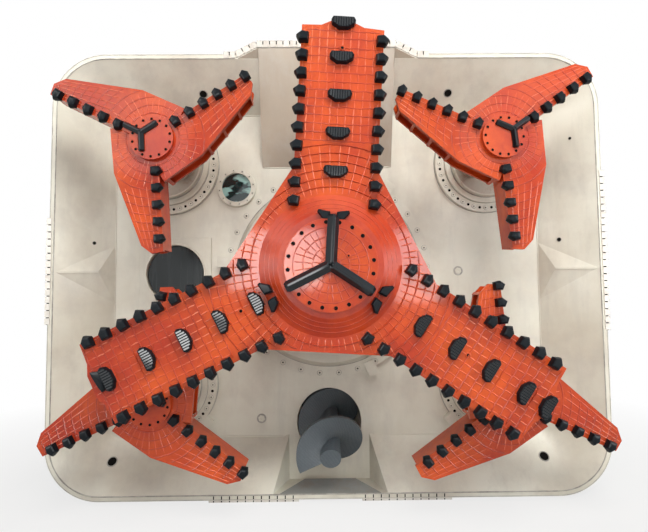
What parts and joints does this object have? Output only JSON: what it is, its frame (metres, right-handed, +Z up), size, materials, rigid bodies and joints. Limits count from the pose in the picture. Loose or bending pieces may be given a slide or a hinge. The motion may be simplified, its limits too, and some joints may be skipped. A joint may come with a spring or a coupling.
{
  "type": "rectangular earth-pressure tunnelling machine front shield with cutterheads",
  "caption": "Box-shaped tunnelling shield front with a large three-spoke cutterhead turning ahead of smaller corner cutterheads, screw inlet and access door",
  "frame": {"origin": "on the ground under the middle of the shield, below the front face of the bulkhead", "axes": "+X to the right seen from the front, +Y into the machine, +Z up"},
  "size_m": [5.452, 3.9861, 4.476],
  "materials": {
    "shield_paint": "cream gloss paint with light dust",
    "cutter_paint": "orange red gloss paint over weld beads",
    "cutter_black": "black gloss coating",
    "auger_paint": "dark blue grey coating",
    "wear_steel": "worn grey steel",
    "shaft_steel": "machined steel",
    "drive_paint": "grey paint",
    "motor_steel": "dark blue grey casting",
    "door_paint": "black smooth coating",
    "port_glass": "greenish glass"
  },
  "bodies": {
    "shield": {"shield_shell": "shield_paint", "bulkhead": "shield_paint", "chamber_walls": "shield_paint", "top_ramp": "shield_paint", "inlet_trough": "shield_paint", "side_wedges": "shield_paint", "skids": "wear_steel", "side_wear_blocks": "wear_steel", "top_wear_blocks": "wear_steel", "main_drive_ring": "shield_paint", "corner_drive_rings": "shield_paint", "main_drive_housing": "drive_paint", "main_drive_motors": "motor_steel", "corner_drive_housings": "drive_paint", "corner_drive_motors": "motor_steel", "screw_casing": "drive_paint", "screw_drive": "motor_steel", "port_ring": "shield_paint", "port_glass": "port_glass", "door_doubler": "shield_paint", "door_hinge": "wear_steel", "rear_flange": "shield_paint"},
    "main_head": {"main_spokes": "cutter_paint", "main_hub": "cutter_paint", "main_star": "cutter_black", "main_drum": "shaft_steel", "main_teeth": "cutter_black", "main_rippers": "cutter_black"},
    "auger": {"screw_auger": "auger_paint"},
    "door": {"access_door": "door_paint"},
    "head_upper_left": {"corner_arms_upper_left": "cutter_paint", "corner_shaft_upper_left": "shaft_steel", "corner_disc_upper_left": "cutter_paint", "corner_teeth_upper_left": "cutter_black"},
    "head_upper_right": {"corner_arms_upper_right": "cutter_paint", "corner_shaft_upper_right": "shaft_steel", "corner_disc_upper_right": "cutter_paint", "corner_teeth_upper_right": "cutter_black"},
    "head_lower_left": {"corner_arms_lower_left": "cutter_paint", "corner_shaft_lower_left": "shaft_steel", "corner_disc_lower_left": "cutter_paint", "corner_teeth_lower_left": "cutter_black"},
    "head_lower_right": {"corner_arms_lower_right": "cutter_paint", "corner_shaft_lower_right": "shaft_steel", "corner_disc_lower_right": "cutter_paint", "corner_teeth_lower_right": "cutter_black"}
  },
  "joints": [
    {"name": "main_spin", "type": "hinge", "parent": "shield", "child": "main_head", "pos_m": [0, 0, 2.177], "axis": [0, 1, 0], "continuous": true},
    {"name": "spin_upper_left", "type": "hinge", "parent": "shield", "child": "head_upper_left", "pos_m": [-1.539, 0, 3.32], "axis": [0, 1, 0], "continuous": true},
    {"name": "spin_upper_right", "type": "hinge", "parent": "shield", "child": "head_upper_right", "pos_m": [1.539, 0, 3.32], "axis": [0, 1, 0], "continuous": true},
    {"name": "spin_lower_left", "type": "hinge", "parent": "shield", "child": "head_lower_left", "pos_m": [-1.539, 0, 1.034], "axis": [0, 1, 0], "continuous": true},
    {"name": "spin_lower_right", "type": "hinge", "parent": "shield", "child": "head_lower_right", "pos_m": [1.539, 0, 1.034], "axis": [0, 1, 0], "continuous": true},
    {"name": "auger_spin", "type": "hinge", "parent": "shield", "child": "auger", "pos_m": [0, 0, 0.64], "axis": [0, 0.9511, 0.309], "continuous": true},
    {"name": "door_swing", "type": "hinge", "parent": "shield", "child": "door", "pos_m": [-1.971, 0.1, 2.177], "axis": [0, 0, 1], "range_deg": [0, 100]}
  ]
}
